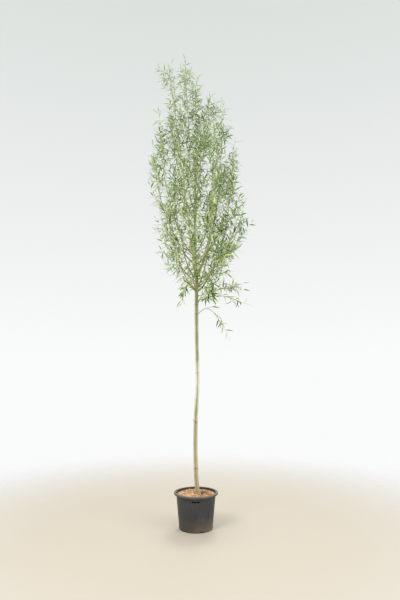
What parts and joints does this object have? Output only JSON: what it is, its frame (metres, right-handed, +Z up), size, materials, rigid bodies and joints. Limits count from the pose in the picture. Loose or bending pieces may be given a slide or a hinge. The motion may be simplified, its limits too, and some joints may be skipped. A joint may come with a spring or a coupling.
{
  "type": "potted standard willow",
  "caption": "Young willow grown as a standard: one slim bare stem in a black nursery pot, with a tall narrow crown of upright leafy branches.",
  "frame": {"origin": "middle of the pot's flat underside", "axes": "+Z up the stem, -Y towards the camera of the picture, +X to its right"},
  "size_m": [0.9458, 0.753, 4.0506],
  "materials": {
    "pot": "matte black, lightly worn at the lip",
    "mulch": "coarse orange-brown bark chips",
    "trunk_bark": "smooth olive-green young bark",
    "bough_bark": "smooth green to reddish-brown bark",
    "foliage": "soft matte leaves, paler beneath"
  },
  "bodies": {
    "root": {"bough_back_left": "bough_bark", "bough_back_middle": "bough_bark", "bough_back_right": "bough_bark", "bough_drooping_spray": "bough_bark", "bough_far_right": "bough_bark", "bough_front_left": "bough_bark", "bough_front_middle": "bough_bark", "bough_front_right": "bough_bark", "bough_left_inner": "bough_bark", "bough_left_low": "bough_bark", "bough_left_outer": "bough_bark", "bough_left_upper": "bough_bark", "bough_low_back": "bough_bark", "bough_low_front": "bough_bark", "bough_low_left": "bough_bark", "bough_low_spray": "bough_bark", "bough_lowest_spray": "bough_bark", "bough_right_back": "bough_bark", "bough_right_cluster": "bough_bark", "bough_right_front": "bough_bark", "bough_right_leader": "bough_bark", "bough_right_low": "bough_bark", "bough_right_middle": "bough_bark", "bough_right_outer": "bough_bark", "bough_right_shoulder": "bough_bark", "bough_tall_left": "bough_bark", "compost": "mulch", "leaves_back_left": "foliage", "leaves_back_middle": "foliage", "leaves_back_right": "foliage", "leaves_drooping_spray": "foliage", "leaves_far_right": "foliage", "leaves_front_left": "foliage", "leaves_front_middle": "foliage", "leaves_front_right": "foliage", "leaves_left_bunch": "foliage", "leaves_left_inner": "foliage", "leaves_left_low": "foliage", "leaves_left_outer": "foliage", "leaves_left_upper": "foliage", "leaves_low_back": "foliage", "leaves_low_bunch": "foliage", "leaves_low_front": "foliage", "leaves_low_left": "foliage", "leaves_low_spray": "foliage", "leaves_lowest_spray": "foliage", "leaves_right_back": "foliage", "leaves_right_cluster": "foliage", "leaves_right_front": "foliage", "leaves_right_leader": "foliage", "leaves_right_low": "foliage", "leaves_right_middle": "foliage", "leaves_right_outer": "foliage", "leaves_right_shoulder": "foliage", "leaves_tall_left": "foliage", "leaves_top": "foliage", "leaves_top_right": "foliage", "pot": "pot", "trunk": "trunk_bark"}
  },
  "joints": []
}
